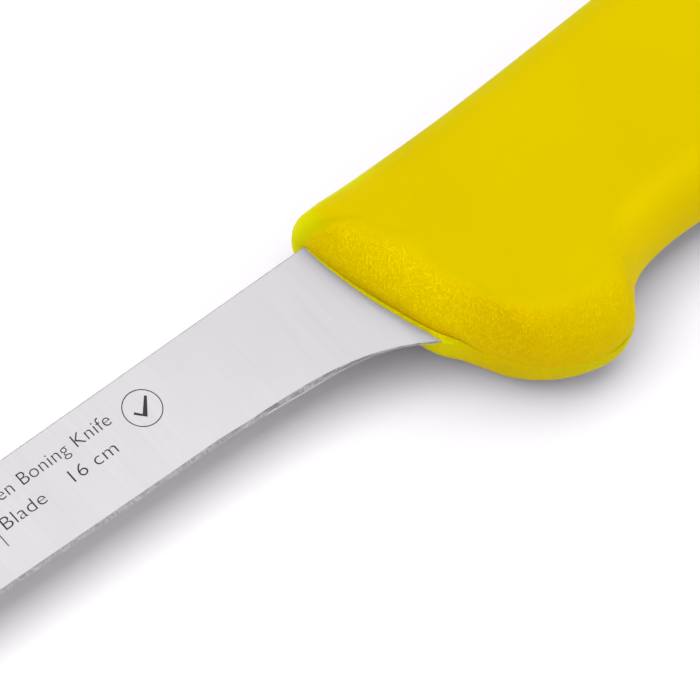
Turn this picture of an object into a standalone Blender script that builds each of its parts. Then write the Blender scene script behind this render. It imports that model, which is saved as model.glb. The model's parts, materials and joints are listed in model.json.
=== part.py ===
"""A boning knife with a moulded handle, lying on its side.

Two pieces: the blade with its hidden tang, stamped from one piece of steel, and the plastic handle
that is moulded round the tang and through its holes.

Frame: +Z up, -X towards the tip, +Y towards the back of the blade. The origin is at the middle of
the knife's bounding box in X and Y, on the surface that the knife lies on.

Profiles are drawn in the knife's own plane: x runs back from the front of the handle, y runs up
from the blade's straight back, and z is measured from the middle of the blade's thickness.
"""

import math

import bmesh
import bpy
from mathutils import Matrix, Vector

MM = 0.001
GAP = 0.3 * MM
FLAT_ANGLE = 0.0001

# Overall
TIP_X = -158 * MM
BUTT_X = 138.3 * MM
TOP_Y = 5.6 * MM
BOTTOM_Y = -33.2 * MM
HANDLE_HALF = 8.5 * MM

# Blade
STOCK_HALF = 1.0 * MM
BLADE_WIDTH = 14.05 * MM
WIDTH_TAPER = 0.0137
RICASSO_X = -18 * MM
RICASSO_SLOPE = 0.06
FLARE_DEPTH = 4.85 * MM
FLARE_END_X = 5.35 * MM
FLARE_POWER = 3.2
GRIND_START_X = -5 * MM
GRIND_FULL_X = -34 * MM
GRIND_SLOPE = 0.048
BEVEL_START_X = -16 * MM
BEVEL_FULL_X = -26 * MM
BEVEL_WIDTH = 0.65 * MM
EDGE_HALF = 0.05 * MM
SPINE_CHAMFER = 0.12 * MM
POINT_START_X = -116 * MM
POINT_POWER = 2.2
SPINE_DROP_X = -96 * MM
TIP_DROP = 4.6 * MM
TIP_HEIGHT = 0.5 * MM
TIP_SHARE = 0.5

# Tang
SHOULDER_START_X = 8.5 * MM
SHOULDER_END_X = 13 * MM
TANG_TOP_Y = -3.2 * MM
TANG_BOTTOM_Y = -17.4 * MM
TANG_END_X = 104 * MM
HOLE_RADIUS = 3 * MM
HOLE_Y = (TANG_TOP_Y + TANG_BOTTOM_Y) / 2
HOLE_XS = [30 * MM, 60 * MM, 90 * MM]
PIN_LENGTH = 6 * MM
POCKET_FRONT_X = -6 * MM

# Handle outline in millimetres, from the top of the nose round by the back, butt, belly and guard
HANDLE_OUTLINE = [
    (2.4, 2.95), (7, 2.95), (13, 2.95), (24, 3.1), (35, 3.6), (50, 4.45), (66, 5.3), (82, 5.6),
    (98, 5.1), (113, 3.7), (126, 1.6), (133, -0.4), (136.8, -3.8), (138.2, -9.5), (137.8, -17.5),
    (136.4, -25), (134, -29.8), (130.2, -31.8), (125.8, -30.7), (119, -27.6), (109, -26),
    (97, -26.5), (83, -27.9), (69, -28.2), (56, -27), (47, -25.7), (40, -25.2), (34.6, -25.5),
    (31, -26.3), (28.4, -27.7), (26.3, -29.9), (24.7, -31.9), (22, -33.1), (17.8, -32.6),
    (14, -30.8), (11, -28.1), (8.9, -25), (7, -22.2), (5.4, -20.3), (3.9, -17.2),
    (2.7, -13.6), (1.5, -9.4), (0.65, -5.3), (0.2, -2.2), (0, 0), (-0.15, 1.6), (0.55, 2.65),
]
OUTLINE_STEPS = 3
PROFILE_STEPS = 7
ROUNDING = 8.4 * MM
ROUND_POWER = 2.2
MIDDLE_FRONT_X = 11 * MM
MIDDLE_REAR_X = 127 * MM
MIDDLE_FRONT_Y = -9.5 * MM
MIDDLE_REAR_Y = -13.5 * MM

# Place of the knife's own plane in the part's frame
PLANE_X = -(TIP_X + BUTT_X) / 2
PLANE_Y = -(TOP_Y + BOTTOM_Y) / 2
PLANE_Z = HANDLE_HALF
TO_FRAME = Matrix.Translation((PLANE_X, PLANE_Y, PLANE_Z))

STEEL = ("blade_steel", (0.62, 0.61, 0.62), 1.0, 0.32)
YELLOW = ("handle_yellow", (0.76, 0.60, 0.0), 0.0, 0.5)


def share(value, start, end):
    """How far value is from start to end, from 0 to 1."""
    return min(1.0, max(0.0, (value - start) / (end - start)))


def ease(t):
    return t * t * (3 - 2 * t)


def heading(before, here, after):
    """The direction of a smooth curve at here, which leans to the nearer neighbour."""
    back = here - before
    ahead = after - here
    sides = back.normalized() * ahead.length + ahead.normalized() * back.length
    return sides / (back.length + ahead.length)


def smooth_loop(points, steps):
    """A smooth closed curve through points, with this many steps between each two."""
    points = [Vector(point) for point in points]
    count = len(points)
    found = []
    for i in range(count):
        before, a, b, after = (points[(i + k) % count] for k in (-1, 0, 1, 2))
        leave = heading(before, a, b) * (b - a).length
        arrive = heading(a, b, after) * (b - a).length
        for step in range(steps):
            t = step / steps
            found.append(
                a * (2 * t**3 - 3 * t**2 + 1) + leave * (t**3 - 2 * t**2 + t)
                + b * (3 * t**2 - 2 * t**3) + arrive * (t**3 - t**2)
            )
    return found


def material(name, colour, metallic, roughness):
    made = bpy.data.materials.new(name)
    made.use_nodes = True
    made.diffuse_color = (*colour, 1)
    surface = made.node_tree.nodes["Principled BSDF"]
    surface.inputs["Base Color"].default_value = (*colour, 1)
    surface.inputs["Metallic"].default_value = metallic
    surface.inputs["Roughness"].default_value = roughness
    return made


def add_object(name, mesh, collection):
    made = bpy.data.objects.new(name, mesh)
    collection.objects.link(made)
    return made


def loft(name, rings, collection):
    """A closed solid through rings of as many points each, capped at both ends."""
    shape = bmesh.new()
    rows = [[shape.verts.new(TO_FRAME @ Vector(point)) for point in ring] for ring in rings]
    for row, following in zip(rows, rows[1:]):
        for i in range(len(row)):
            shape.faces.new((row[i - 1], row[i], following[i], following[i - 1]))
    shape.faces.new(rows[0])
    shape.faces.new(reversed(rows[-1]))
    bmesh.ops.recalc_face_normals(shape, faces=shape.faces)
    mesh = bpy.data.meshes.new(name)
    shape.to_mesh(mesh)
    shape.free()
    return add_object(name, mesh, collection)


def plate(name, outline, half, collection):
    """A flat plate of this outline, its faces at half above and below the knife's plane."""
    drawn = bpy.data.curves.new(name, "CURVE")
    drawn.dimensions = "2D"
    drawn.fill_mode = "BOTH"
    drawn.extrude = half
    line = drawn.splines.new("POLY")
    line.points.add(len(outline) - 1)
    for point, (x, y) in zip(line.points, outline):
        point.co = (x, y, 0, 1)
    line.use_cyclic_u = True
    guide = bpy.data.objects.new(name, drawn)
    collection.objects.link(guide)
    bpy.context.view_layer.update()
    graph = bpy.context.evaluated_depsgraph_get()
    mesh = bpy.data.meshes.new_from_object(guide.evaluated_get(graph))
    bpy.data.objects.remove(guide)
    bpy.data.curves.remove(drawn)
    shape = bmesh.new()
    shape.from_mesh(mesh)
    bmesh.ops.remove_doubles(shape, verts=shape.verts, dist=0.01 * MM)
    caps = [edge for edge in shape.edges if edge.calc_face_angle(math.pi) < FLAT_ANGLE]
    bmesh.ops.dissolve_edges(shape, edges=caps)
    bmesh.ops.recalc_face_normals(shape, faces=shape.faces)
    shape.transform(TO_FRAME)
    shape.to_mesh(mesh)
    shape.free()
    mesh.name = name
    return add_object(name, mesh, collection)


def cross_pin(name, x, radius, collection):
    """A cylinder across the tang, at one of its holes."""
    shape = bmesh.new()
    place = TO_FRAME @ Matrix.Translation((x, HOLE_Y, 0))
    bmesh.ops.create_cone(
        shape, cap_ends=True, segments=32, radius1=radius, radius2=radius,
        depth=PIN_LENGTH, matrix=place,
    )
    mesh = bpy.data.meshes.new(name)
    shape.to_mesh(mesh)
    shape.free()
    return add_object(name, mesh, collection)


def combine(target, other, operation):
    """A Boolean, with the other object kept as a cutter."""
    made = target.modifiers.new(operation.lower(), "BOOLEAN")
    made.operation = operation
    made.object = other
    made.solver = "EXACT"
    other.hide_render = True
    other.display_type = "WIRE"


def shade(made, surface, angle):
    made.data.materials.append(surface)
    made.data.shade_smooth()
    made.data.set_sharp_from_angle(angle=math.radians(angle))


def blade_top(x):
    """Height of the blade's back, and of the tang's upper edge."""
    if x < SPINE_DROP_X:
        return -TIP_DROP * share(x, SPINE_DROP_X, TIP_X) ** 2
    return TANG_TOP_Y * ease(share(x, SHOULDER_START_X, SHOULDER_END_X))


def blade_bottom(x):
    """Height of the cutting edge, of the flare beside the handle and of the tang's lower edge."""
    if x > SHOULDER_START_X:
        start = blade_bottom(SHOULDER_START_X)
        return start + (TANG_BOTTOM_Y - start) * ease(share(x, SHOULDER_START_X, SHOULDER_END_X))
    if x > RICASSO_X:
        run = (x - RICASSO_X) / (FLARE_END_X - RICASSO_X)
        flare = min(run, 1.0) ** FLARE_POWER * FLARE_DEPTH
        return -BLADE_WIDTH - RICASSO_SLOPE * min(x - RICASSO_X, FLARE_END_X - RICASSO_X) - flare
    straight = -BLADE_WIDTH - WIDTH_TAPER * (x - RICASSO_X)
    point = -TIP_DROP - TIP_HEIGHT
    return straight + (point - straight) * share(x, POINT_START_X, TIP_X) ** POINT_POWER


def blade_section(x):
    """The blade's outline across at x: flat stock by the handle, ground towards the edge ahead."""
    top = blade_top(x)
    bottom = blade_bottom(x)
    ground = ease(share(x, GRIND_START_X, GRIND_FULL_X))
    thinning = 1 - (1 - TIP_SHARE) * share(x, SPINE_DROP_X, TIP_X)
    sharpened = ease(share(x, BEVEL_START_X, BEVEL_FULL_X))
    bevel = min(BEVEL_WIDTH * sharpened, 0.4 * (top - bottom))
    chamfer = min(SPINE_CHAMFER, 0.2 * (top - bottom))

    def half_at(y):
        return (STOCK_HALF + GRIND_SLOPE * ground * y) * thinning

    shoulder = bottom + max(bevel, chamfer)
    edge = half_at(bottom) - chamfer
    edge += (EDGE_HALF - edge) * sharpened
    side = [
        (top, half_at(top) - chamfer),
        (top - chamfer, half_at(top - chamfer)),
        (shoulder, half_at(shoulder)),
        (bottom, edge),
    ]
    return [(x, y, z) for y, z in side] + [(x, y, -z) for y, z in reversed(side)]


def blade_stations():
    """Places along the blade, closer where its outline bends."""
    runs = [
        (TIP_X, POINT_START_X, 14), (POINT_START_X, SPINE_DROP_X, 5),
        (SPINE_DROP_X, GRIND_FULL_X, 6), (GRIND_FULL_X, BEVEL_FULL_X, 3),
        (BEVEL_FULL_X, RICASSO_X, 5), (RICASSO_X, GRIND_START_X, 6), (GRIND_START_X, FLARE_END_X, 8),
        (FLARE_END_X, SHOULDER_START_X, 1), (SHOULDER_START_X, SHOULDER_END_X, 6),
        (SHOULDER_END_X, TANG_END_X, 4),
    ]
    stations = [TIP_X]
    for start, end, steps in runs:
        stations += [start + (end - start) * step / steps for step in range(1, steps + 1)]
    return stations


def make_blade(parts, cutters):
    blade = loft("blade", [blade_section(x) for x in blade_stations()], parts)
    for i, x in enumerate(HOLE_XS):
        hole = cross_pin(f"tang_hole_{i + 1}", x, HOLE_RADIUS, cutters)
        combine(blade, hole, "DIFFERENCE")
    shade(blade, material(*STEEL), 25)


def handle_outline():
    return [point * MM for point in smooth_loop(HANDLE_OUTLINE, OUTLINE_STEPS)]


def toward_middle(point, distance):
    """The point this far in from the outline, towards the line along the handle's middle."""
    along = share(point.x, MIDDLE_FRONT_X, MIDDLE_REAR_X)
    target = Vector((
        MIDDLE_FRONT_X + (MIDDLE_REAR_X - MIDDLE_FRONT_X) * along,
        MIDDLE_FRONT_Y + (MIDDLE_REAR_Y - MIDDLE_FRONT_Y) * along,
    ))
    return point + (target - point).normalized() * distance


def side_ring(outline, angle):
    """The handle's outline at one height: angle 0 is the middle, 90 and -90 the two flat sides."""
    inward = 1 - math.cos(angle) ** (2 / ROUND_POWER)
    height = math.copysign(abs(math.sin(angle)) ** (2 / ROUND_POWER), angle) * HANDLE_HALF
    return [(*toward_middle(point, ROUNDING * inward), height) for point in outline]


def pocket_outline(grow):
    """The outline of the part of the blade that the handle holds, grown outwards all round.

    It runs out past the front of the handle, so that the pocket is open there.
    """
    stations = [x for x in blade_stations() if POCKET_FRONT_X <= x <= SHOULDER_END_X]
    upper = [(x, blade_top(x) + grow) for x in stations]
    lower = [(x, blade_bottom(x) - grow) for x in stations]
    end = TANG_END_X + grow
    return upper + [(end, TANG_TOP_Y + grow), (end, TANG_BOTTOM_Y - grow)] + lower[::-1]


def make_handle(parts, cutters):
    outline = handle_outline()
    angles = [
        math.radians(90 * step / PROFILE_STEPS) for step in range(-PROFILE_STEPS, PROFILE_STEPS + 1)
    ]
    handle = loft("handle", [side_ring(outline, angle) for angle in angles], parts)
    pocket = plate("tang_pocket", pocket_outline(GAP), STOCK_HALF + GAP, cutters)
    for i, x in enumerate(HOLE_XS):
        pin = cross_pin(f"handle_pin_{i + 1}", x, HOLE_RADIUS - GAP, cutters)
        combine(pocket, pin, "DIFFERENCE")
    combine(handle, pocket, "DIFFERENCE")
    shade(handle, material(*YELLOW), 30)


def main():
    for old in list(bpy.data.objects):
        bpy.data.objects.remove(old)
    parts = bpy.data.collections.new("boning_knife")
    cutters = bpy.data.collections.new("cutters")
    for made in (parts, cutters):
        bpy.context.scene.collection.children.link(made)
    make_blade(parts, cutters)
    make_handle(parts, cutters)


main()
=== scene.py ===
"""Looks for the boning knife: a satin blade with its ground edge and etched marks, and a grained
plastic handle with its parting line, on a white floor under soft studio light.

Profiles are drawn in the knife's own plane, in metres: x runs back from the front of the handle,
y runs up from the blade's straight back, and z is measured from the middle of the blade's thickness.
"""

import json
import math

import bmesh
import bpy
import numpy as np
from mathutils import Matrix, Vector

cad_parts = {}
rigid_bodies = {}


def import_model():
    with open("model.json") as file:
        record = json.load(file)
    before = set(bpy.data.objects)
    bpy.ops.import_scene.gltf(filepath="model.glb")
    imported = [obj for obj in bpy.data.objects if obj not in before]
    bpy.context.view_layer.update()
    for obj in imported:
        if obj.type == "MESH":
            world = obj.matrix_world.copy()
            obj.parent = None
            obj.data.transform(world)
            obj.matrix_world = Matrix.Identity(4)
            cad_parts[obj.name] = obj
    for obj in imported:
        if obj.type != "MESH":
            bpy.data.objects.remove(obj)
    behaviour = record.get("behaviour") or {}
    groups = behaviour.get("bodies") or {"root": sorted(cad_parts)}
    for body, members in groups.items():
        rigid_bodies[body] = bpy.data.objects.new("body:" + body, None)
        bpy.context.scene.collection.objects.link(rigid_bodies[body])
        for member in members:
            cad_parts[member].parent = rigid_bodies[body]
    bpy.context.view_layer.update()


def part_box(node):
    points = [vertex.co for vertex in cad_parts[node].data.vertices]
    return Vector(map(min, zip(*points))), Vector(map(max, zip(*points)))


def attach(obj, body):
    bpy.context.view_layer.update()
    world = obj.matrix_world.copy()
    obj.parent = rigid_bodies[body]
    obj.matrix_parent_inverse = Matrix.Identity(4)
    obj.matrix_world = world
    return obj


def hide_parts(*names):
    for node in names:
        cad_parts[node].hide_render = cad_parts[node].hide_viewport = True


MM = 0.001

# Blade profile, the same as the part's apart from its narrower bevel, thinner edge and finer corners
TIP_X = -158 * MM
STOCK_HALF = 1.0 * MM
BLADE_WIDTH = 14.05 * MM
WIDTH_TAPER = 0.0137
RICASSO_X = -18 * MM
RICASSO_SLOPE = 0.06
FLARE_DEPTH = 4.85 * MM
FLARE_END_X = 5.35 * MM
FLARE_POWER = 3.2
GRIND_START_X = -5 * MM
GRIND_FULL_X = -34 * MM
GRIND_SLOPE = 0.048
BEVEL_START_X = -16 * MM
BEVEL_FULL_X = -26 * MM
BEVEL_WIDTH = 0.44 * MM
EDGE_HALF = 0.03 * MM
CORNER = 0.1 * MM
POINT_START_X = -116 * MM
POINT_POWER = 2.2
SPINE_DROP_X = -96 * MM
TIP_DROP = 4.6 * MM
TIP_HEIGHT = 0.5 * MM
TIP_SHARE = 0.5
SHOULDER_START_X = 8.5 * MM
SHOULDER_END_X = 13 * MM
TANG_TOP_Y = -3.2 * MM
TANG_BOTTOM_Y = -17.4 * MM
TANG_END_X = 104 * MM
HOLE_RADIUS = 3 * MM
HOLE_Y = (TANG_TOP_Y + TANG_BOTTOM_Y) / 2
HOLE_XS = [30 * MM, 60 * MM, 90 * MM]
HOLE_CUT = 6 * MM
HOLE_STEPS = 48

# The bevel and the corners take at most these shares of the blade's width where it is narrow, and
# the middle point of each lies this far across it
BEVEL_SHARE = 0.4
CORNER_SHARE = 0.15
ROUND_SHARE = 0.3

# The sheared heel leans in towards its underside beside the handle
UNDERCUT_START_X = -13 * MM
UNDERCUT_FULL_X = 3 * MM
UNDERCUT = 0.95 * MM
UNDERCUT_REACH = 3 * MM

FACE_STEPS = 10
STATION_STEP = 0.6 * MM

# A face of the blade's steel whose normal rises less than this belongs to the edge or the back
FLAT_NORMAL_Z = 0.9985

# Etched marks: words with their left end, base line and width; a ring's centre and radius; a tick in
# millimetres from that centre; and a bar's place, top and bottom
MARK_DEPTH = 0.008 * MM
MARK_THINNING = 0.028 * MM
MARK_CAPITAL = 1.75 * MM
CAPITAL_SHARE = 0.7
LETTER_SPACING = 1.04
LETTER_STEPS = 6
MARK_TEXTS = [
    ("Kitchen Boning Knife", -55.9 * MM, -4.25 * MM, 22.9 * MM),
    ("Blade", -52 * MM, -7.6 * MM, 6.4 * MM),
    ("16 cm", -41.5 * MM, -7.6 * MM, 6.8 * MM),
]
MARK_LINE = 0.13 * MM
MARK_RING = (-28.95 * MM, -4.86 * MM, 2.5 * MM)
MARK_RING_STEPS = 96
MARK_TICK = [(-1.25, 0.05), (-0.35, -0.95), (1.35, 1.05)]
MARK_TICK_WIDTH = 0.34 * MM
MARK_BAR = (-53.1 * MM, -6.2 * MM, -9.3 * MM)
LEAST_MITRE = 0.5
WELD = 0.0005 * MM

# Handle profile, the same as the part's, in millimetres
HANDLE_OUTLINE = [
    (2.4, 2.95), (7, 2.95), (13, 2.95), (24, 3.1), (35, 3.6), (50, 4.45), (66, 5.3), (82, 5.6),
    (98, 5.1), (113, 3.7), (126, 1.6), (133, -0.4), (136.8, -3.8), (138.2, -9.5), (137.8, -17.5),
    (136.4, -25), (134, -29.8), (130.2, -31.8), (125.8, -30.7), (119, -27.6), (109, -26),
    (97, -26.5), (83, -27.9), (69, -28.2), (56, -27), (47, -25.7), (40, -25.2), (34.6, -25.5),
    (31, -26.3), (28.4, -27.7), (26.3, -29.9), (24.7, -31.9), (22, -33.1), (17.8, -32.6),
    (14, -30.8), (11, -28.1), (8.9, -25), (7, -22.2), (5.4, -20.3), (3.9, -17.2),
    (2.7, -13.6), (1.5, -9.4), (0.65, -5.3), (0.2, -2.2), (0, 0), (-0.15, 1.6), (0.55, 2.65),
]
OUTLINE_STEP = 0.45 * MM
HANDLE_HALF = 8.5 * MM
ROUNDING = 8.4 * MM
ROUND_POWER = 2.2
MIDDLE_FRONT = Vector((11 * MM, -9.5 * MM))
MIDDLE_REAR = Vector((127 * MM, -13.5 * MM))
SIDE_RINGS = 26

# Rings on each flat side; the last one stops this part of a step short of the middle line
PANEL_RINGS = 9
PANEL_REST = 0.6

# Parting line of the mould. It runs round the middle of the handle's thickness, and climbs over the
# blade along the front of the handle, where the mould closes on the steel and leaves a lip.
FRONT_X = 12 * MM
LIP_NOSE_Z = 1.15 * MM
LIP_HEEL_Z = 1.6 * MM
LIP_TOP_Y = 0.9 * MM
LIP_NOSE_Y = -0.3 * MM
LIP_HEEL_Y = -18 * MM
LIP_FALL_Y = -20.2 * MM
LIP_END_Y = -24 * MM
LIP_LEDGE = 0.12 * MM
LIP_FADE = 0.9 * MM
PARTING_DEPTH = 0.02 * MM
CREASE_DEPTH = 0.2 * MM
CREASE_WIDTH = 0.2 * MM
CREASE_RISE = 0.04 * MM
CREASE_CLEAR = 0.1 * MM
CREASE_LEVELS = [
    -2.0, -1.7, -1.45, -1.25, -1.1, -0.95, -0.8, -0.65, -0.45, -0.3, -0.2, -0.13, -0.06,
    0, 0.06, 0.13, 0.2, 0.3, 0.45, 0.7, 1.0, 1.3, 1.6,
]

# Seam from the end of the lip down to the guard, with a ridge under it
SEAM_PLACE = Vector((7.2 * MM, -22.6 * MM))
SEAM_LENGTH = 5 * MM
SEAM_DEPTH = 0.2 * MM
RIDGE_END_X = 24 * MM
RIDGE_START_Y = -19 * MM
RIDGE_FULL_Y = -20.6 * MM
RIDGE_DROP = 0.85 * MM
RIDGE_WIDTH = 0.18 * MM
RIDGE_HEIGHT = 0.28 * MM

# Plastic that covers the blade's heel, a nub of flash beyond it, and a fold at the guard's tip
COVER_PLACE = Vector((4.7 * MM, -19.5 * MM))
COVER_LENGTH = 1.1 * MM
COVER_HEIGHT = 0.5 * MM
COVER_DROP = 1.0 * MM
COVER_WIDTH = 0.7 * MM
NUB_PLACE = Vector((7.9 * MM, -23.9 * MM))
NUB_SIZE = 0.45 * MM
NUB_HEIGHT = 0.16 * MM
NUB_DROP = 0.9 * MM
FOLD_PLACE = Vector((22.3 * MM, -32.9 * MM))
FOLD_LENGTH = 2 * MM
FOLD_DEPTH = 0.26 * MM

# Where the plastic is painted warmer (painted shade above the crease and on the guard), greener (painted
# light on the rims and the band below the parting line) or paler (painted light on the rounded sides), and
# where it is more grained.
# A zone begins at its START and is whole at its FULL; the plain numbers say how strongly it shows there,
# from 0 to 1.
BACK_START_Y = -0.8 * MM
BACK_FULL_Y = 1.0 * MM
REAR_START_X = 6 * MM
REAR_FULL_X = 16 * MM
BELLY_START_X = 24 * MM
BELLY_FULL_X = 40 * MM
FRONT_END_X = 24 * MM
FRONT_FULL_X = 8 * MM
GUARD_PLACE = Vector((18 * MM, -29 * MM))
GUARD_LENGTH = 11 * MM
SIDE_START_Z = 7.1 * MM
WARM_PLACE = Vector((12 * MM, -27.5 * MM))
WARM_LENGTH = 7 * MM
WARM_FADE = 1.0 * MM
WARM_START_Y = -3 * MM
WARM_FULL_Y = -13 * MM
WARM_NOSE = 0.25
WARM_GUARD = 0.35
COOL_START_Z = 7.4 * MM
COOL_FULL_Z = 5.2 * MM
COOL_REAR = 0.35
COOL_BAND = 0.7
PALE_START_Z = 6.5 * MM
PALE_FULL_Z = 2.5 * MM
PALE_TOP = 0.43
PALE_FRONT = 0.38
PALE_MORE = 0.15
PALE_NOSE = 0.75
PALE_BACK = 0.15
PALE_BELLY = 0.6
GRAIN_BACK = 0.2
GRAIN_LEAST = 0.12

# Direction that the leather grain runs in, from X
GRAIN_TURN = math.radians(52)

# Colours of the steel. Its stamped sides have a real burnish band up to a height above the floor, made
# lighter there as a painted highlight where the lower edge catches light.
SATIN_DARK = (0.425, 0.416, 0.427, 1)
SATIN_LIGHT = (0.457, 0.447, 0.459, 1)
SATIN_SCRATCH = (0.45, 0.44, 0.45, 1)
TORN_DARK = (0.20, 0.19, 0.20, 1)
TORN_LIGHT = (0.54, 0.52, 0.54, 1)
# Partly a real burnish band, partly a painted highlight along the lower edge.
BURNISH_AND_HIGHLIGHT = (0.74, 0.71, 0.74, 1)
BURNISH_TOP = 8.1 * MM
BURNISH_FADE = 0.12 * MM
BURNISH_WAVE = 0.25 * MM
GROUND_DARK = (0.46, 0.45, 0.46, 1)
GROUND_LIGHT = (0.68, 0.665, 0.68, 1)
INK_DARK = (0.012, 0.011, 0.013, 1)
INK_LIGHT = (0.035, 0.033, 0.036, 1)

# Colours of the plastic. What it throws on its surroundings is kept nearly neutral.
YELLOW_DARK = (0.635, 0.487, 0.0, 1)
YELLOW_LIGHT = (0.655, 0.504, 0.0, 1)
# Painted light: a paler yellow where the sides round over, most at the front.
PAINTED_LIGHT_YELLOW = (1.0, 0.74, 0.0, 1)
# Painted light: greener yellow on the lit rims and the floor-lit band below the parting line, and a paler
# form of it.
PAINTED_LIGHT_GREEN = (0.64, 0.65, 0.0, 1)
PAINTED_LIGHT_GREEN_PALE = (0.86, 0.865, 0.0, 1)
# Painted shade: orange darkening above the crease and on the guard's turned-down side.
PAINTED_SHADE_ORANGE = (0.66, 0.34, 0.0, 1)
# Painted shade: darker orange in the grain's valleys.
PAINTED_VALLEY_SHADE = (0.56, 0.33, 0.0, 1)
YELLOW_SPECK = (0.5, 0.36, 0.0, 1)
YELLOW_GLOSS = (1.0, 0.85, 0.0, 1)
BOUNCED = (0.2, 0.195, 0.2, 1)
REFLECTED = (0.95, 0.93, 0.95, 1)

# Floor, lights and world. A light is its name, place, aim, size and power in watts.
FLOOR_HALF = 3.0
FLOOR_DARK = (0.945, 0.92, 0.948, 1)
FLOOR_LIGHT = (0.96, 0.935, 0.963, 1)
LIGHTS = [
    ("overhead_strip", (-1.6, 0.475, 3.0), (-1.6, 0, 0), (4.2, 2.4), 78),
    ("butt_panel", (2.1, 0.475, 3.0), (2.1, 0, 0), (3.2, 2.3), 33),
    ("side_fill", (2.6, -1.6, 1.6), (0, 0, 0), (2.0, 2.0), 14),
]
WORLD_COLOUR = (1, 1, 1, 1)
WORLD_STRENGTH = 0.51

# Camera
VIEW_AZIMUTH = math.radians(-47.5)
VIEW_ELEVATION = math.radians(60.8)
VIEW_ROLL = math.radians(8.4)
VIEW_WIDTH = 82.75 * MM
VIEW_DISTANCE = 2.5
VIEW_TARGET = Vector((-4.6 * MM, -14.06 * MM, STOCK_HALF))
SENSOR_MM = 36
NEAREST = 0.01


# ---------------------------------------------------------------- shapes

def share(value, start, end):
    """How far value is from start to end, from 0 to 1."""
    return np.clip((value - start) / (end - start), 0.0, 1.0)


def ease(t):
    """A share that starts and ends gently."""
    return t * t * (3 - 2 * t)


def hump(value, centre, width):
    """A smooth bump of height 1 at centre."""
    return np.exp(-(((value - centre) / width) ** 2))


def spot(outline, place, size):
    """A smooth bump of height 1 at a place on an outline."""
    return hump(outline[:, 0], place.x, size) * hump(outline[:, 1], place.y, size)


def link(name, mesh, *materials):
    """A new object in the scene, with its materials."""
    made = bpy.data.objects.new(name, mesh)
    bpy.context.scene.collection.objects.link(made)
    for surface in materials:
        mesh.materials.append(surface)
    return made


def grid_mesh(name, rings):
    """A mesh through rings of as many points each, with the first and last ring filled."""
    rings = np.asarray(rings, float)
    rows, columns = rings.shape[:2]
    faces = []
    for row in range(rows - 1):
        for i in range(columns):
            j = (i + 1) % columns
            a, b = row * columns, (row + 1) * columns
            faces.append((a + i, a + j, b + j, b + i))
    faces.append(tuple(range(columns - 1, -1, -1)))
    faces.append(tuple((rows - 1) * columns + i for i in range(columns)))
    mesh = bpy.data.meshes.new(name)
    mesh.from_pydata(rings.reshape(-1, 3).tolist(), [], faces)
    mesh.validate()
    return mesh


def face_outwards(mesh):
    shape = bmesh.new()
    shape.from_mesh(mesh)
    bmesh.ops.recalc_face_normals(shape, faces=shape.faces)
    shape.to_mesh(mesh)
    shape.free()


def cut(target, cutter):
    """Takes cutter out of target, and removes it."""
    made = target.modifiers.new("cut", "BOOLEAN")
    made.operation = "DIFFERENCE"
    made.object = cutter
    made.solver = "EXACT"
    graph = bpy.context.evaluated_depsgraph_get()
    mesh = bpy.data.meshes.new_from_object(target.evaluated_get(graph))
    target.modifiers.clear()
    target.data = mesh
    bpy.data.objects.remove(cutter)


def smooth(target, degrees):
    """Shades a piece smooth, except over edges sharper than this."""
    target.data.shade_smooth()
    target.data.set_sharp_from_angle(angle=math.radians(degrees))


# ---------------------------------------------------------------- blade

def blade_top(x):
    """Height of the blade's back, and of the tang's upper edge."""
    drop = -TIP_DROP * share(x, SPINE_DROP_X, TIP_X) ** 2
    return drop + TANG_TOP_Y * ease(share(x, SHOULDER_START_X, SHOULDER_END_X))


def blade_bottom(x):
    """Height of the cutting edge, of the flare beside the handle and of the tang's lower edge."""
    straight = -BLADE_WIDTH - WIDTH_TAPER * np.minimum(x - RICASSO_X, 0)
    point = -TIP_DROP - TIP_HEIGHT
    pointed = straight + (point - straight) * share(x, POINT_START_X, TIP_X) ** POINT_POWER
    run = share(x, RICASSO_X, FLARE_END_X)
    sloped = pointed - RICASSO_SLOPE * (FLARE_END_X - RICASSO_X) * run
    flared = sloped - FLARE_DEPTH * run**FLARE_POWER
    return flared + (TANG_BOTTOM_Y - flared) * ease(share(x, SHOULDER_START_X, SHOULDER_END_X))


def face_half(x, y):
    """Half the blade's thickness: flat stock by the handle, ground towards the edge ahead of it."""
    ground = ease(share(x, GRIND_START_X, GRIND_FULL_X))
    thinning = 1 - (1 - TIP_SHARE) * share(x, SPINE_DROP_X, TIP_X)
    return (STOCK_HALF + GRIND_SLOPE * ground * y) * thinning


def blade_side(x):
    """The upper half of the blade's outline across at x, from the back to the edge."""
    top = blade_top(x)
    bottom = blade_bottom(x)
    sharpened = ease(share(x, BEVEL_START_X, BEVEL_FULL_X))
    corner = min(CORNER, CORNER_SHARE * (top - bottom))
    rounded = corner * ROUND_SHARE
    bevel = max(min(BEVEL_WIDTH * sharpened, BEVEL_SHARE * (top - bottom)), corner)
    shoulder = bottom + bevel
    points = [(top, face_half(x, top) - corner), (top - rounded, face_half(x, top) - rounded)]
    for y in np.linspace(top - corner, shoulder, FACE_STEPS):
        points.append((y, face_half(x, y)))
    sheared_middle = face_half(x, bottom) - rounded
    ground_middle = EDGE_HALF + (face_half(x, shoulder) - EDGE_HALF) * ROUND_SHARE
    middle = sheared_middle + (ground_middle - sheared_middle) * sharpened
    points.append((bottom + bevel * ROUND_SHARE, middle))
    sheared_edge = face_half(x, bottom) - corner
    points.append((bottom, sheared_edge + (EDGE_HALF - sheared_edge) * sharpened))
    return points


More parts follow.
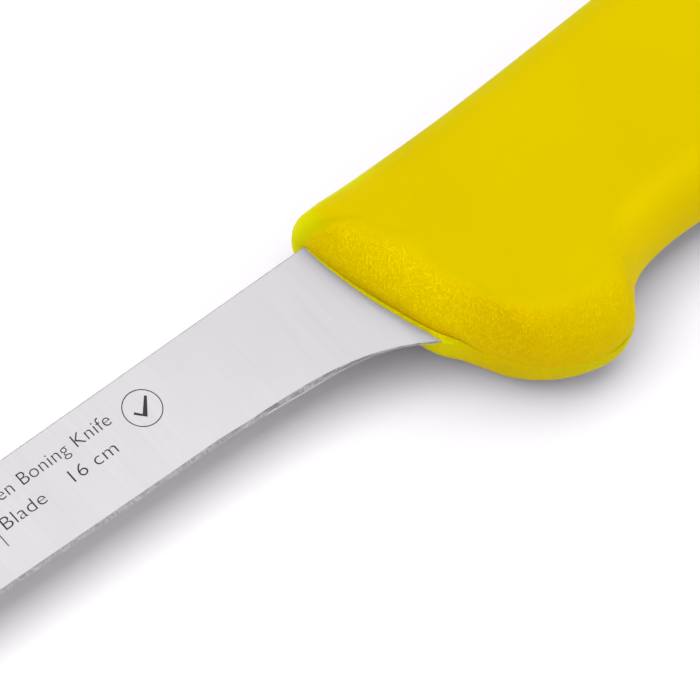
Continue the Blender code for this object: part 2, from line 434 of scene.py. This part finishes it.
def cross_pin(x):
    """A round cutter through the tang at x."""
    shape = bmesh.new()
    place = TO_FRAME @ Matrix.Translation((x, HOLE_Y, 0))
    bmesh.ops.create_cone(
        shape, cap_ends=True, segments=HOLE_STEPS, radius1=HOLE_RADIUS, radius2=HOLE_RADIUS,
        depth=HOLE_CUT, matrix=place,
    )
    mesh = bpy.data.meshes.new("pin")
    shape.to_mesh(mesh)
    shape.free()
    return link("pin", mesh)


def choose_steel(mesh):
    """Gives each face its material: 0 on the flat faces and the tang, 1 on the edge side, 2 on the back."""
    for face in mesh.polygons:
        x = face.center.x - FRAME_FROM_PLANE.x
        y = face.center.y - FRAME_FROM_PLANE.y
        if abs(face.normal.z) > FLAT_NORMAL_Z or x > SHOULDER_START_X:
            face.material_index = 0
        elif y > blade_top(x) - 2 * CORNER:
            face.material_index = 2
        else:
            face.material_index = 1


def make_blade(face_steel, edge_side, back_side):
    rings = []
    for x in np.linspace(TIP_X, TANG_END_X, round((TANG_END_X - TIP_X) / STATION_STEP)):
        side = blade_side(x)
        bottom = side[-1][0]
        lean = UNDERCUT * ease(share(x, UNDERCUT_START_X, UNDERCUT_FULL_X))
        under = [(y + lean * share(y, bottom + UNDERCUT_REACH, bottom), -z) for y, z in reversed(side)]
        rings.append([(x, y, z) for y, z in side + under])
    mesh = grid_mesh("blade_steel_body", rings)
    mesh.transform(TO_FRAME)
    face_outwards(mesh)
    made = link("satin_blade", mesh, face_steel, edge_side, back_side)
    for x in HOLE_XS:
        cut(made, cross_pin(x))
    choose_steel(made.data)
    smooth(made, 15)
    return made


# ---------------------------------------------------------------- etched marks

def flat_curve(kind):
    made = bpy.data.curves.new("mark", kind)
    made.dimensions = "2D"
    made.fill_mode = "BOTH"
    made.extrude = MARK_DEPTH
    return made


def curve_to_mesh(curve, place):
    """The mesh of a flat curve, moved to its place in the knife's plane."""
    guide = bpy.data.objects.new("mark", curve)
    bpy.context.scene.collection.objects.link(guide)
    bpy.context.view_layer.update()
    graph = bpy.context.evaluated_depsgraph_get()
    mesh = bpy.data.meshes.new_from_object(guide.evaluated_get(graph))
    bpy.data.objects.remove(guide)
    mesh.transform(place)
    return mesh


def stroke(points, width):
    """The outline of a flat bar of even width along points, with square ends."""
    points = [Vector(point) for point in points]
    sides = []
    for i, point in enumerate(points):
        before = points[max(i - 1, 0)]
        after = points[min(i + 1, len(points) - 1)]
        along = (after - before).normalized()
        turn = (point - before).normalized() if 0 < i < len(points) - 1 else along
        reach = width / 2 / max(LEAST_MITRE, turn.dot(along))
        sides.append(Vector((-along.y, along.x)) * reach)
    left = [p + s for p, s in zip(points, sides)]
    right = [p - s for p, s in zip(points, sides)]
    return left + right[::-1]


def circle(radius):
    turns = [2 * math.pi * i / MARK_RING_STEPS for i in range(MARK_RING_STEPS)]
    return [(radius * math.cos(t), radius * math.sin(t)) for t in turns]


def outline_mesh(outlines, place=Matrix()):
    """A flat mesh inside closed outlines; an outline inside another is a hole."""
    drawn = flat_curve("CURVE")
    for outline in outlines:
        line = drawn.splines.new("POLY")
        line.points.add(len(outline) - 1)
        for point, (x, y) in zip(line.points, outline):
            point.co = (x, y, 0, 1)
        line.use_cyclic_u = True
    return curve_to_mesh(drawn, place)


def text_mesh(words, left, base, width):
    """Words in the built-in face, from left to left + width on a base line."""
    drawn = flat_curve("FONT")
    drawn.body = words
    drawn.size = MARK_CAPITAL / CAPITAL_SHARE
    drawn.space_character = LETTER_SPACING
    drawn.resolution_u = LETTER_STEPS
    drawn.offset = -MARK_THINNING
    mesh = curve_to_mesh(drawn, Matrix())
    spread = [v.co.x for v in mesh.vertices]
    scale = width / (max(spread) - min(spread))
    move = Matrix.Translation((left, base, 0)) @ Matrix.Diagonal((scale, 1, 1, 1))
    mesh.transform(move @ Matrix.Translation((-min(spread), 0, 0)))
    return mesh


def lay_on_blade(shape):
    """Moves flat marks from the knife's plane to the blade's upper face in the part's frame."""
    for v in shape.verts:
        v.co.z += face_half(v.co.x, v.co.y) + FRAME_FROM_PLANE.z
        v.co.x += FRAME_FROM_PLANE.x
        v.co.y += FRAME_FROM_PLANE.y


def make_marks(ink):
    """A plain ring with a tick, a bar and two lines of generic words, etched on the upper face."""
    ring_x, ring_y, radius = MARK_RING
    centre = Matrix.Translation((ring_x, ring_y, 0))
    tick = stroke([Vector(point) * MM for point in MARK_TICK], MARK_TICK_WIDTH)
    bar_x, bar_top, bar_bottom = MARK_BAR
    bar = stroke([(bar_x, bar_top), (bar_x, bar_bottom)], MARK_LINE)
    meshes = [
        outline_mesh([circle(radius), circle(radius - MARK_LINE)], centre),
        outline_mesh([tick], centre),
        outline_mesh([bar]),
    ]
    meshes += [text_mesh(*text) for text in MARK_TEXTS]
    shape = bmesh.new()
    for mesh in meshes:
        shape.from_mesh(mesh)
        bpy.data.meshes.remove(mesh)
    bmesh.ops.remove_doubles(shape, verts=shape.verts, dist=WELD)
    lay_on_blade(shape)
    bmesh.ops.recalc_face_normals(shape, faces=shape.faces)
    mesh = bpy.data.meshes.new("etched_marks")
    shape.to_mesh(mesh)
    shape.free()
    return link("etched_marks", mesh, ink)


# ---------------------------------------------------------------- handle

def heading(before, here, after):
    """The direction of a smooth curve at here, which leans to the nearer neighbour."""
    back = here - before
    ahead = after - here
    sides = back.normalized() * ahead.length + ahead.normalized() * back.length
    return sides / (back.length + ahead.length)


def handle_outline():
    """A smooth closed curve through the handle's outline points, about evenly stepped."""
    points = [Vector(point) * MM for point in HANDLE_OUTLINE]
    count = len(points)
    found = []
    for i in range(count):
        before, a, b, after = (points[(i + k) % count] for k in (-1, 0, 1, 2))
        leave = heading(before, a, b) * (b - a).length
        arrive = heading(a, b, after) * (b - a).length
        steps = max(3, round((b - a).length / OUTLINE_STEP))
        for step in range(steps):
            t = step / steps
            found.append(
                a * (2 * t**3 - 3 * t**2 + 1) + leave * (t**3 - 2 * t**2 + t)
                + b * (3 * t**2 - 2 * t**3) + arrive * (t**3 - t**2)
            )
    return np.array(found)


def middle_of(outline):
    """For each outline point, the point on the handle's middle line that it is drawn towards."""
    along = share(outline[:, 0], MIDDLE_FRONT.x, MIDDLE_REAR.x)[:, None]
    return np.array(MIDDLE_FRONT) + along * np.array(MIDDLE_REAR - MIDDLE_FRONT)


def front_share(outline):
    """1 along the front of the handle beside the blade, fading out round the guard and nose."""
    x, y = outline.T
    guard_end = ease(share(y, LIP_END_Y, LIP_FALL_Y))
    nose_end = ease(share(y, LIP_TOP_Y, LIP_NOSE_Y))
    return (x < FRONT_X) * guard_end * nose_end


def crease_heights(outline):
    """Height of the parting line at each outline point."""
    climb = LIP_NOSE_Z + (LIP_HEEL_Z - LIP_NOSE_Z) * share(outline[:, 1], LIP_NOSE_Y, LIP_HEEL_Y)
    return climb * front_share(outline)


def side_heights(crease):
    """Heights of the rings at one outline point, close together round the crease."""
    angles = np.linspace(-math.pi / 2, math.pi / 2, 2 * SIDE_RINGS + 1)
    even = np.sign(angles) * np.abs(np.sin(angles)) ** (2 / ROUND_POWER) * HANDLE_HALF
    close = np.array(CREASE_LEVELS) * MM
    even = even[(even < close[0] - CREASE_CLEAR) | (even > close[-1] + CREASE_CLEAR)]
    levels = np.sort(np.concatenate([even, close]))
    lowest = (close[0] + crease + HANDLE_HALF) / (close[0] + HANDLE_HALF)
    highest = (HANDLE_HALF - close[-1] - crease) / (HANDLE_HALF - close[-1])
    below = -HANDLE_HALF + (levels + HANDLE_HALF) * lowest
    above = HANDLE_HALF - (HANDLE_HALF - levels) * highest
    return np.where(levels < close[0], below, np.where(levels > close[-1], above, levels + crease))


def side_rings(outline, middle, crease, heights):
    """Rings of the rounded sides, drawn in towards the middle line, with the parting line on them."""
    x, y = outline.T
    reach = middle - outline
    inward = reach / np.linalg.norm(reach, axis=1)[:, None]
    front = front_share(outline)
    seam = spot(outline, SEAM_PLACE, SEAM_LENGTH)
    ridge = seam * (x < RIDGE_END_X) * ease(share(y, RIDGE_START_Y, RIDGE_FULL_Y))
    cover = spot(outline, COVER_PLACE, COVER_LENGTH)
    nub = spot(outline, NUB_PLACE, NUB_SIZE)
    fold = spot(outline, FOLD_PLACE, FOLD_LENGTH)
    ledge = LIP_LEDGE * front + FOLD_DEPTH * fold
    groove = PARTING_DEPTH + (CREASE_DEPTH - PARTING_DEPTH) * front
    groove += SEAM_DEPTH * seam * (1 - front) + FOLD_DEPTH * fold
    rings = []
    for z in heights:
        above = z - crease
        level = np.minimum(np.abs(z) / HANDLE_HALF, 1)
        inset = ROUNDING * (1 - (1 - level**ROUND_POWER) ** (1 / ROUND_POWER))
        inset += np.where(above > 0, np.exp(-above / LIP_FADE), 0) * ledge
        inset += groove * hump(above, CREASE_RISE, CREASE_WIDTH)
        inset -= RIDGE_HEIGHT * ridge * hump(above, -RIDGE_DROP, RIDGE_WIDTH)
        inset -= COVER_HEIGHT * cover * hump(above, -COVER_DROP, COVER_WIDTH)
        inset -= NUB_HEIGHT * nub * hump(above, -NUB_DROP, NUB_SIZE)
        rings.append(np.column_stack([outline + inward * inset[:, None], z]))
    return rings


def panel_rings(rim, middle, z):
    """Rings of a flat side, from next to its rim in towards the middle line."""
    rings = []
    for step in range(1, PANEL_RINGS + 1):
        place = rim[:, :2] + (middle - rim[:, :2]) * step / (PANEL_RINGS + PANEL_REST)
        rings.append(np.column_stack([place, np.full(len(rim), z)]))
    return rings


def plastic_zones(outline, crease, heights):
    """How much painted shade, greener painted light and paler painted light the plastic gets, and how
    grained it is, from 0 to 1, round each ring of the sides.
    """
    x, y = outline.T
    front = front_share(outline)
    back = ease(share(y, BACK_START_Y, BACK_FULL_Y))
    rear = ease(share(x, REAR_START_X, REAR_FULL_X))
    belly = ease(share(x, BELLY_START_X, BELLY_FULL_X))
    forward = ease(share(x, FRONT_END_X, FRONT_FULL_X))
    guard = spot(outline, GUARD_PLACE, GUARD_LENGTH)
    guard_shade_spot = spot(outline, WARM_PLACE, WARM_LENGTH)
    heelward = WARM_NOSE + (1 - WARM_NOSE) * ease(share(y, WARM_START_Y, WARM_FULL_Y))
    painted_shade, painted_green_light, painted_light, grain = [], [], [], []
    for z in heights:
        above = z - crease
        turned = 1 - ease(share(np.abs(z), SIDE_START_Z, HANDLE_HALF))
        low = 1 - ease(share(np.abs(z), COOL_FULL_Z, COOL_START_Z))
        lowest = 1 - ease(share(np.abs(z), PALE_FULL_Z, PALE_START_Z))
        # Painted shade: orange just above the crease along the front, and on the guard where its side turns
        # down.
        beside = np.where(above > 0, np.exp(-above / WARM_FADE), 0) * front * heelward
        painted_shade.append(np.maximum(beside, WARM_GUARD * turned * guard_shade_spot))
        # Painted light: a greener tint along the lit rims of the sides and the floor-lit band below the
        # parting line.
        band = np.where(above < 0, 1, 0) * np.maximum(front, guard)
        painted_green_light.append(np.maximum(low * back * (1 - (1 - COOL_REAR) * rear), COOL_BAND * band))
        # Painted light: the rounded sides are made paler, most towards the front and near the middle of the
        # thickness.
        lift = PALE_TOP + PALE_FRONT * forward
        lift += lowest * np.where(front > 0, (1 - lift) * front, PALE_MORE * (1 - forward))
        held_back = back * (1 - PALE_BACK * (1 - rear)) * (1 - PALE_NOSE * lowest * (1 - rear))
        painted_light.append(turned * lift * (1 - held_back) * (1 - (1 - PALE_BELLY) * belly))
        rough = turned * np.maximum(forward, guard) * (1 - (1 - GRAIN_BACK) * back)
        grain.append(np.maximum(rough, GRAIN_LEAST))
    return {"painted_shade": painted_shade, "painted_green_light": painted_green_light, "painted_light": painted_light, "grain": grain}


def make_handle(plastic):
    outline = handle_outline()
    middle = middle_of(outline)
    crease = crease_heights(outline)
    heights = np.array([side_heights(z) for z in crease]).T
    sides = side_rings(outline, middle, crease, heights)
    under = panel_rings(sides[0], middle, -HANDLE_HALF)
    over = panel_rings(sides[-1], middle, HANDLE_HALF)
    mesh = grid_mesh("handle_plastic_body", under[::-1] + sides + over)
    for name, values in plastic_zones(outline, crease, heights).items():
        rest = [np.full(len(outline), GRAIN_LEAST if name == "grain" else 0.0)] * PANEL_RINGS
        layer = mesh.attributes.new(name, "FLOAT", "POINT")
        layer.data.foreach_set("value", np.concatenate(rest + values + rest).astype(np.float32))
    mesh.transform(TO_FRAME)
    face_outwards(mesh)
    made = link("grained_handle", mesh, plastic)
    smooth(made, 40)
    return made


# ---------------------------------------------------------------- material nodes

def new_material(name):
    made = bpy.data.materials.new(name)
    made.use_nodes = True
    tree = made.node_tree
    return made, tree, tree.nodes["Principled BSDF"]


def fill(tree, node, inputs):
    """Links a node's inputs to sockets, or sets them to values."""
    for key, value in inputs.items():
        if isinstance(value, bpy.types.NodeSocket):
            tree.links.new(value, node.inputs[key])
        else:
            node.inputs[key].default_value = value


def add(tree, kind, settings, inputs):
    """A new node with its settings and inputs."""
    node = tree.nodes.new(kind)
    for key, value in settings.items():
        setattr(node, key, value)
    fill(tree, node, inputs)
    return node


def object_place(tree):
    return add(tree, "ShaderNodeTexCoord", {}, {}).outputs["Object"]


def object_axis(tree, axis):
    """The object coordinate along one axis, in metres."""
    return add(tree, "ShaderNodeSeparateXYZ", {}, {"Vector": object_place(tree)}).outputs[axis]


def attribute(tree, name):
    return add(tree, "ShaderNodeAttribute", {"attribute_name": name}, {}).outputs["Fac"]


def mapping(tree, inputs):
    return add(tree, "ShaderNodeMapping", {}, inputs).outputs["Vector"]


def noise(tree, per_metre, detail=2.0, distortion=0.0, turn=0.0):
    """Noise with this many units a metre along each axis, after a turn about Z."""
    turned = mapping(tree, {"Vector": object_place(tree), "Rotation": (0, 0, turn)})
    place = mapping(tree, {"Vector": turned, "Scale": per_metre})
    inputs = {"Vector": place, "Scale": 1.0, "Detail": detail, "Distortion": distortion}
    return add(tree, "ShaderNodeTexNoise", {}, inputs).outputs["Fac"]


def remap(tree, value, start, end, low=0.0, high=1.0):
    """low to high as value goes from start to end."""
    inputs = {"Value": value, "From Min": start, "From Max": end, "To Min": low, "To Max": high}
    return add(tree, "ShaderNodeMapRange", {}, inputs).outputs["Result"]


def combine(tree, operation, first, second):
    return add(tree, "ShaderNodeMath", {"operation": operation}, {0: first, 1: second}).outputs[0]


def times(tree, first, second):
    return combine(tree, "MULTIPLY", first, second)


def weigh(tree, first, second, weight):
    """The mean of two values, with weight from 0 to 1 on the first."""
    return combine(tree, "ADD", times(tree, first, weight), times(tree, second, 1 - weight))


def blend(tree, factor, first, second):
    """A colour from the first to the second as factor goes from 0 to 1."""
    return add(tree, "ShaderNodeMix", {"data_type": "RGBA"}, {0: factor, 6: first, 7: second}).outputs[2]


def bump(tree, height, distance, strength, under=None):
    inputs = {"Height": height, "Distance": distance, "Strength": strength}
    if under is not None:
        inputs["Normal"] = under
    return add(tree, "ShaderNodeBump", {}, inputs).outputs["Normal"]


# ---------------------------------------------------------------- steel

def satin_steel():
    """Stainless steel ground across the blade: fine lines from back to edge, a few deeper ones."""
    made, tree, surface = new_material("satin_steel")
    fine = noise(tree, (9000, 90, 90), detail=3.0)
    lines = noise(tree, (2600, 45, 45), detail=3.0)
    cloud = noise(tree, (90, 60, 60), detail=3.0)
    scratch = remap(tree, noise(tree, (5200, 120, 120), detail=1.0), 0.68, 0.74)
    tone = remap(tree, weigh(tree, fine, cloud, 0.6), 0.35, 0.65)
    colour = blend(tree, tone, SATIN_DARK, SATIN_LIGHT)
    shallow = bump(tree, lines, 0.004 * MM, 0.2)
    fill(tree, surface, {
        "Base Color": blend(tree, times(tree, scratch, 0.12), colour, SATIN_SCRATCH),
        "Metallic": 1.0,
        "Roughness": remap(tree, lines, 0.3, 0.7, 0.37, 0.41),
        "Normal": bump(tree, fine, 0.004 * MM, 0.3, under=shallow),
    })
    return made


def torn_steel(tree):
    """Colour and tears of a stamped side: a burnish band along the lower part, lightened as a painted
    highlight, torn and darker above it.
    """
    tears = noise(tree, (3200, 3200, 900), detail=4.0, distortion=0.6)
    patches = noise(tree, (700, 700, 700), detail=3.0)
    torn = blend(tree, remap(tree, times(tree, tears, patches), 0.15, 0.38), TORN_DARK, TORN_LIGHT)
    wave = remap(tree, patches, 0.3, 0.7, -BURNISH_WAVE, BURNISH_WAVE)
    ragged = combine(tree, "ADD", object_axis(tree, "Z"), wave)
    # Lower band: a real burnish zone, painted lighter as a highlight of the lower edge.
    burnish_and_highlight_mask = remap(tree, ragged, BURNISH_TOP, BURNISH_TOP - BURNISH_FADE)
    return blend(tree, burnish_and_highlight_mask, torn, BURNISH_AND_HIGHLIGHT), tears


def edge_steel():
    """The sheared heel, which runs into the ground edge: short rough lines across it, uneven in tone."""
    made, tree, surface = new_material("edge_steel")
    torn, tears = torn_steel(tree)
    lines = noise(tree, (3600, 1500, 1500), detail=4.0, distortion=0.4)
    patches = noise(tree, (1700, 2400, 2400), detail=3.0)
    tone = remap(tree, weigh(tree, lines, patches, 0.5), 0.4, 0.6)
    ground = blend(tree, tone, GROUND_DARK, GROUND_LIGHT)
    ragged = combine(tree, "ADD", object_axis(tree, "X"), remap(tree, patches, 0.3, 0.7, -MM, MM))
    start = FRAME_FROM_PLANE.x + BEVEL_START_X
    full = FRAME_FROM_PLANE.x + BEVEL_FULL_X
    fill(tree, surface, {
        "Base Color": blend(tree, remap(tree, ragged, start, full), torn, ground),
        "Metallic": 1.0,
        "Roughness": remap(tree, tears, 0.3, 0.7, 0.35, 0.55),
        "Normal": bump(tree, tears, 0.05 * MM, 0.6),
    })
    return made


def sheared_steel():
    """The stamped back of the blade."""
    made, tree, surface = new_material("sheared_steel")
    torn, tears = torn_steel(tree)
    fill(tree, surface, {
        "Base Color": torn,
        "Metallic": 1.0,
        "Roughness": remap(tree, tears, 0.3, 0.7, 0.35, 0.6),
        "Normal": bump(tree, tears, 0.06 * MM, 0.7),
    })
    return made


def etched_ink():
    """Dark etched marks, slightly uneven."""
    made, tree, surface = new_material("etched_ink")
    speck = noise(tree, (9000, 9000, 9000), detail=3.0)
    fill(tree, surface, {
        "Base Color": blend(tree, remap(tree, speck, 0.35, 0.7), INK_DARK, INK_LIGHT),
        "Roughness": remap(tree, speck, 0.3, 0.7, 0.45, 0.65),
        "Specular IOR Level": 0.3,
    })
    return made


# ---------------------------------------------------------------- plastic and floor

def plastic_colour(tree, ridge, grain):
    """Yellow with painted light and shade by zone: paler and greener as painted light, orange as painted
    shade beside the crease and on the guard, and darker as painted shade in the valleys of the grain.
    """
    cloud = noise(tree, (55, 55, 55), detail=3.0)
    patch = remap(tree, noise(tree, (420, 420, 420), detail=3.0), 0.3, 0.7, 0.8, 1.0)
    speck = remap(tree, noise(tree, (3100, 3100, 3100), detail=1.0), 0.72, 0.78)
    painted_light = attribute(tree, "painted_light")
    colour = blend(tree, remap(tree, cloud, 0.35, 0.65), YELLOW_DARK, YELLOW_LIGHT)
    # Painted light: paler where the sides round over.
    colour = blend(tree, painted_light, colour, PAINTED_LIGHT_YELLOW)
    # Painted light: greener on the rims and the band below the parting line.
    green = blend(tree, painted_light, PAINTED_LIGHT_GREEN, PAINTED_LIGHT_GREEN_PALE)
    colour = blend(tree, times(tree, attribute(tree, "painted_green_light"), patch), colour, green)
    # Painted shade: orange beside the crease and on the guard.
    colour = blend(tree, times(tree, attribute(tree, "painted_shade"), patch), colour, PAINTED_SHADE_ORANGE)
    # Painted shade: the grain's valleys are darkened, more where the grain is strong.
    valley_shade = times(tree, remap(tree, ridge, 0.0, 1.0, 0.26, 0.0), grain)
    colour = blend(tree, valley_shade, colour, PAINTED_VALLEY_SHADE)
    return blend(tree, times(tree, speck, 0.1), colour, YELLOW_SPECK)


def grained_plastic():
    """Yellow polypropylene with a fine leather grain on its rounded front, and painted light and shade over
    its sides.
    """
    made, tree, surface = new_material("grained_yellow_plastic")
    grain = attribute(tree, "grain")
    wrinkle = noise(tree, (2500, 4800, 3600), distortion=0.8, turn=-GRAIN_TURN)
    ridge = combine(tree, "ABSOLUTE", combine(tree, "SUBTRACT", wrinkle, 0.5), 0.0)
    ridge = remap(tree, ridge, 0.0, 0.08)
    fine = noise(tree, (5200, 5200, 5200))
    colour = plastic_colour(tree, ridge, grain)
    rays = add(tree, "ShaderNodeLightPath", {}, {}).outputs
    colour = blend(tree, rays["Is Diffuse Ray"], colour, BOUNCED)
    height = combine(tree, "ADD", ridge, times(tree, fine, 0.3))
    fill(tree, surface, {
        "Base Color": blend(tree, rays["Is Glossy Ray"], colour, REFLECTED),
        "Roughness": remap(tree, fine, 0.3, 0.7, 0.42, 0.54),
        "Specular IOR Level": 0.008,
        "Specular Tint": YELLOW_GLOSS,
        "Normal": bump(tree, times(tree, height, grain), 0.08 * MM, 0.75),
    })
    return made


def floor_white():
    """White studio paper."""
    made, tree, surface = new_material("floor_white")
    fill(tree, surface, {
        "Base Color": blend(tree, noise(tree, (3, 3, 3)), FLOOR_DARK, FLOOR_LIGHT),
        "Roughness": 0.9,
        "Specular IOR Level": 0.0,
    })
    return made


# ---------------------------------------------------------------- stage

def make_floor():
    low, high = -FLOOR_HALF, FLOOR_HALF
    corners = [(low, low, 0), (high, low, 0), (high, high, 0), (low, high, 0)]
    mesh = bpy.data.meshes.new("floor")
    mesh.from_pydata(corners, [], [(0, 1, 2, 3)])
    floor = link("floor", mesh, floor_white())


def make_light(name, place, aim, size, power):
    """A rectangular soft light, its length along X, facing the point aim."""
    data = bpy.data.lights.new(name, "AREA")
    data.shape = "RECTANGLE"
    data.size, data.size_y = size
    data.energy = power
    made = bpy.data.objects.new(name, data)
    bpy.context.scene.collection.objects.link(made)
    back = Vector(place) - Vector(aim)
    turn = back.to_track_quat("Z", "Y").to_matrix().to_4x4()
    made.matrix_world = Matrix.Translation(place) @ turn


def make_world():
    world = bpy.data.worlds.new("studio")
    bpy.context.scene.world = world
    world.use_nodes = True
    background = world.node_tree.nodes["Background"]
    fill(world.node_tree, background, {"Color": WORLD_COLOUR, "Strength": WORLD_STRENGTH})


def make_camera():
    """A long lens, turned about the point that it looks at."""
    data = bpy.data.cameras.new("camera")
    data.sensor_width = SENSOR_MM
    data.lens = SENSOR_MM * VIEW_DISTANCE / VIEW_WIDTH
    data.clip_start = NEAREST
    camera = bpy.data.objects.new("camera", data)
    bpy.context.scene.collection.objects.link(camera)
    target = Matrix.Translation(FRAME_FROM_PLANE + VIEW_TARGET)
    turn = Matrix.Rotation(VIEW_AZIMUTH, 4, "Z")
    tilt = Matrix.Rotation(math.pi / 2 - VIEW_ELEVATION, 4, "X")
    roll = Matrix.Rotation(VIEW_ROLL, 4, "Z")
    back = Matrix.Translation((0, 0, VIEW_DISTANCE))
    camera.matrix_world = target @ turn @ tilt @ roll @ back
    bpy.context.scene.camera = camera


# ---------------------------------------------------------------- making

for old in list(bpy.data.objects):
    bpy.data.objects.remove(old)
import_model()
blade_low, blade_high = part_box("blade")
handle_low, handle_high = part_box("handle")
FRAME_FROM_PLANE = Vector((
    blade_low.x - TIP_X, blade_high.y, (handle_low.z + handle_high.z) / 2
))
TO_FRAME = Matrix.Translation(FRAME_FROM_PLANE)

make_floor()
for light in LIGHTS:
    make_light(*light)
make_world()
make_camera()

blade = make_blade(satin_steel(), edge_steel(), sheared_steel())
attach(blade, "root")
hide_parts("blade")

marks = make_marks(etched_ink())
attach(marks, "root")

handle = make_handle(grained_plastic())
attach(handle, "root")
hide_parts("handle")

view = bpy.context.scene.view_settings
view.view_transform = "Standard"
view.look = "None"
